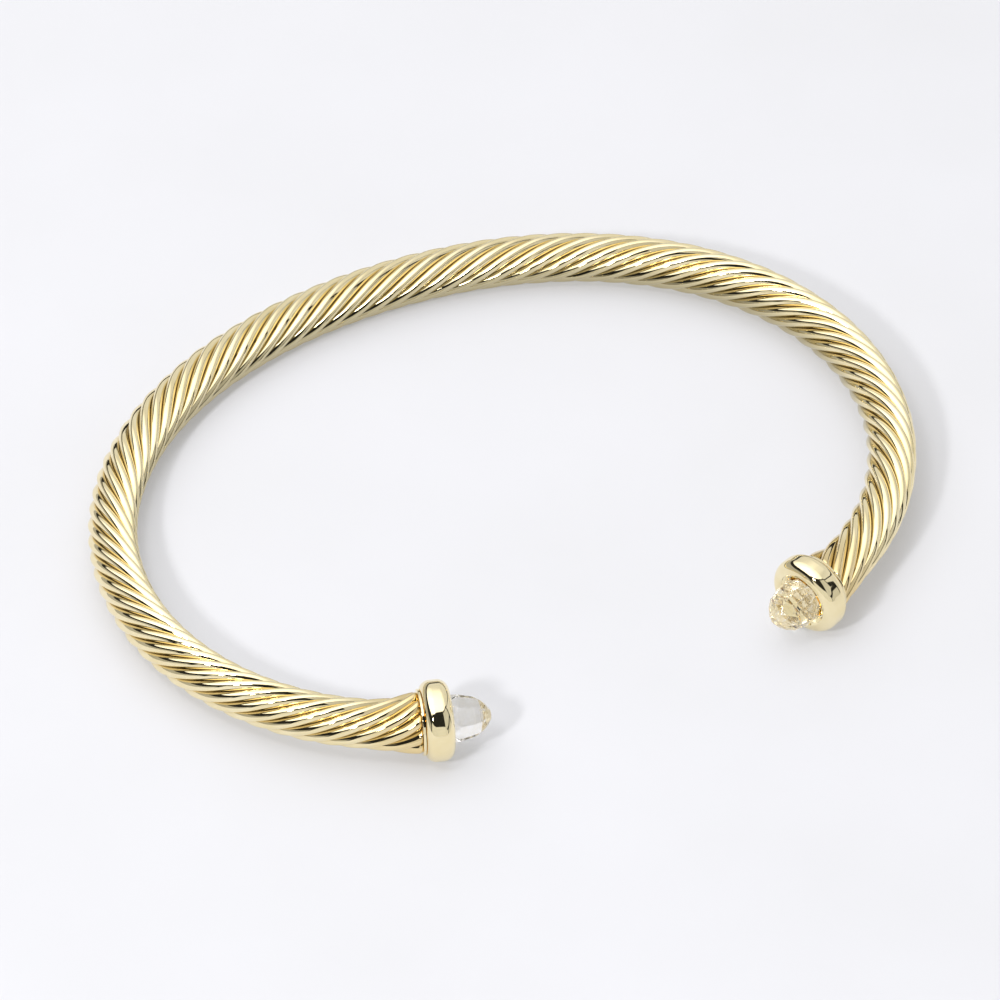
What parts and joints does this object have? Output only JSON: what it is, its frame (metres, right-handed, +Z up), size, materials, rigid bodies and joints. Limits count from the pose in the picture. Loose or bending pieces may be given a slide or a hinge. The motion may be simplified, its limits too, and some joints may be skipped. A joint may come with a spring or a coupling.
{
  "type": "twisted cuff bracelet",
  "caption": "Open cuff bracelet: a twisted cable band with flared ends, each closed by a smooth round collar that holds a clear faceted stone.",
  "frame": {"origin": "middle of the cuff's outline, at the level of the surface that it lies on", "axes": "+X across the cuff's width, -Y out through the opening between the ends, +Z up from the surface"},
  "size_m": [0.0683, 0.053, 0.0066],
  "materials": {
    "plated_gold": "polished pale gold plating",
    "clear_crystal": "polished flat facets"
  },
  "bodies": {
    "root": {"cable": "plated_gold", "collar_left": "plated_gold", "collar_right": "plated_gold", "stone_left": "clear_crystal", "stone_right": "clear_crystal"}
  },
  "joints": []
}
